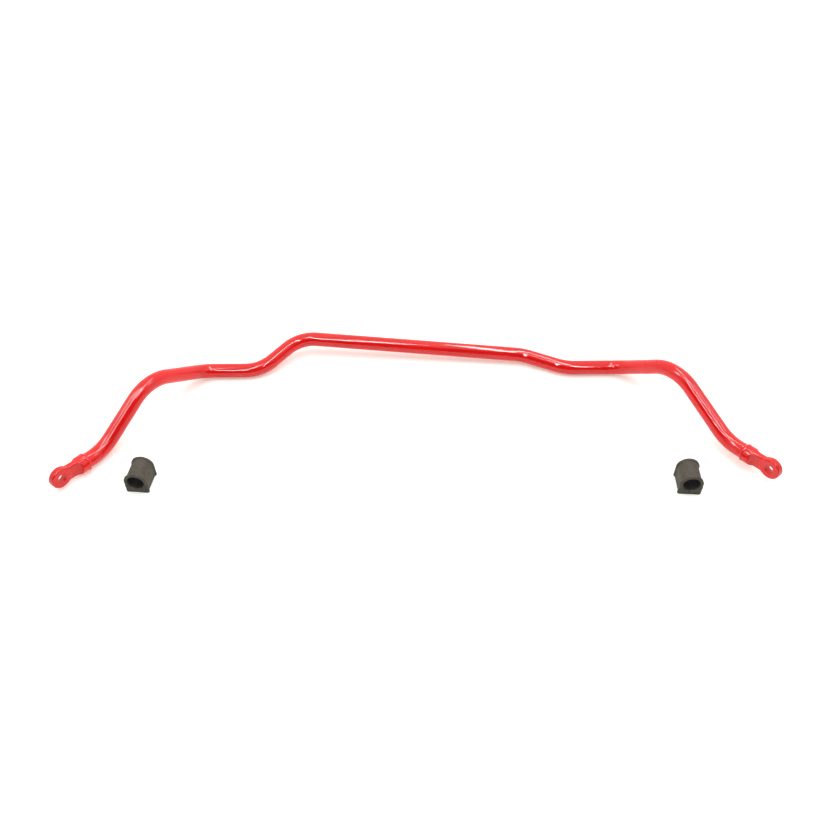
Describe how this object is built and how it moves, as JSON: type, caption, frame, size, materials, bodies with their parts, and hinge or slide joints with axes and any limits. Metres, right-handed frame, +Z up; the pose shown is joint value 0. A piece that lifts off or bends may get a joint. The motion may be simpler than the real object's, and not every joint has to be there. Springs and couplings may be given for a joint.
{
  "type": "sway bar",
  "caption": "Bent tubular sway bar with a raised centre section, cranked arms and drop-link eyes, and its loose D-shaped rubber bushes.",
  "frame": {"origin": "midpoint of the turning axis between the two mounting sections, half a tube diameter above the floor the bar lies on", "axes": "+X along the turning axis from the left arm to the right arm, +Y away from the arms, +Z up from the floor"},
  "size_m": [1.0693, 0.349, 0.0845],
  "materials": {
    "bar_paint": "glossy red paint",
    "bush_rubber": "matt moulded rubber"
  },
  "bodies": {
    "bar": {"bar_tube": "bar_paint", "left_end_eye": "bar_paint", "right_end_eye": "bar_paint", "left_weld_bead": "bar_paint", "right_weld_bead": "bar_paint"},
    "left_bush": {"left_bush": "bush_rubber"},
    "right_bush": {"right_bush": "bush_rubber"}
  },
  "joints": [
    {"name": "left_bush_lift", "type": "slide", "parent": "bar", "child": "left_bush", "axis": [0, 0, 1], "range_m": [0, 0.1]},
    {"name": "right_bush_lift", "type": "slide", "parent": "bar", "child": "right_bush", "axis": [0, 0, 1], "range_m": [0, 0.1]}
  ]
}
